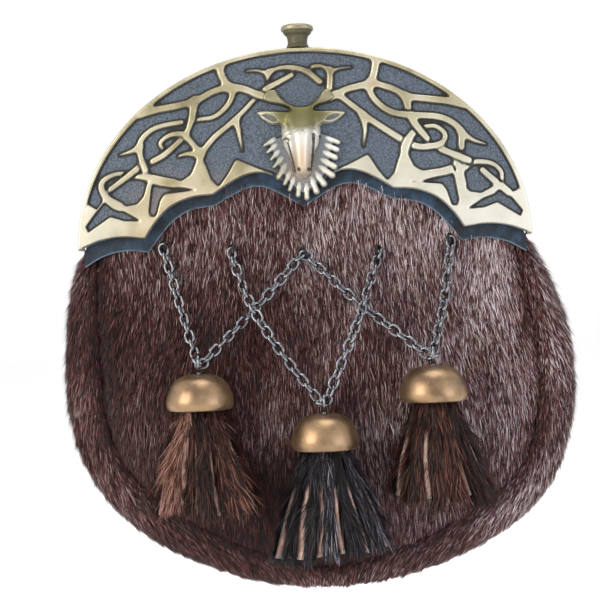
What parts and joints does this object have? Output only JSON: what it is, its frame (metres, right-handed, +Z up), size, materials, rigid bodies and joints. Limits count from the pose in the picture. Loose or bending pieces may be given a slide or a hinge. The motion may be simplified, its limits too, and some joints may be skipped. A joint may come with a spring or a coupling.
{
  "type": "sporran pouch",
  "caption": "Dress sporran: a rounded fur pouch with a cast scalloped cantle, stag's head boss, chains and domed tassels, hung by two belt loops on its back.",
  "frame": {"origin": "on the outer face of the back panel, midway between the two belt loops and level with the cantle's lower corners, where the sporran strap pulls", "axes": "+Z up as worn, -Y towards the front with the cantle, +X to the viewer's right seen from the front"},
  "size_m": [0.2088, 0.0731, 0.2284],
  "materials": {
    "cast_brass": "antiqued cast brass, worn pale on the relief and dark in the ground",
    "aged_brass": "polished brass gone brown",
    "gunmetal_steel": "dark nickel-plated wire",
    "trim_leather": "blue-black leather with a paler cut edge",
    "back_leather": "black grained leather, satin",
    "brown_fur": "short dark brown fur with paler tips",
    "chestnut_hair": "chestnut fur on suede strips",
    "black_hair": "blue-black fur on suede strips"
  },
  "bodies": {
    "root": {"cantle_plate": "cast_brass", "stag_head": "cast_brass", "knob": "cast_brass", "leather_trim": "trim_leather", "front_panel": "brown_fur", "gusset": "brown_fur", "top_band": "back_leather", "back_panel": "back_leather", "back_flap": "back_leather", "flap_stud": "aged_brass", "belt_loop_left": "back_leather", "belt_loop_right": "back_leather", "chain_outer": "gunmetal_steel", "chain_inner": "gunmetal_steel", "eyelet_outer_left": "gunmetal_steel", "eyelet_centre": "gunmetal_steel", "eyelet_outer_right": "gunmetal_steel", "eyelet_inner_left": "gunmetal_steel", "eyelet_inner_right": "gunmetal_steel", "bail_left": "gunmetal_steel", "bail_middle": "gunmetal_steel", "bail_right": "gunmetal_steel", "dome_left": "aged_brass", "dome_middle": "aged_brass", "dome_right": "aged_brass", "tassel_left": "chestnut_hair", "tassel_middle": "black_hair", "tassel_right": "chestnut_hair"}
  },
  "joints": []
}
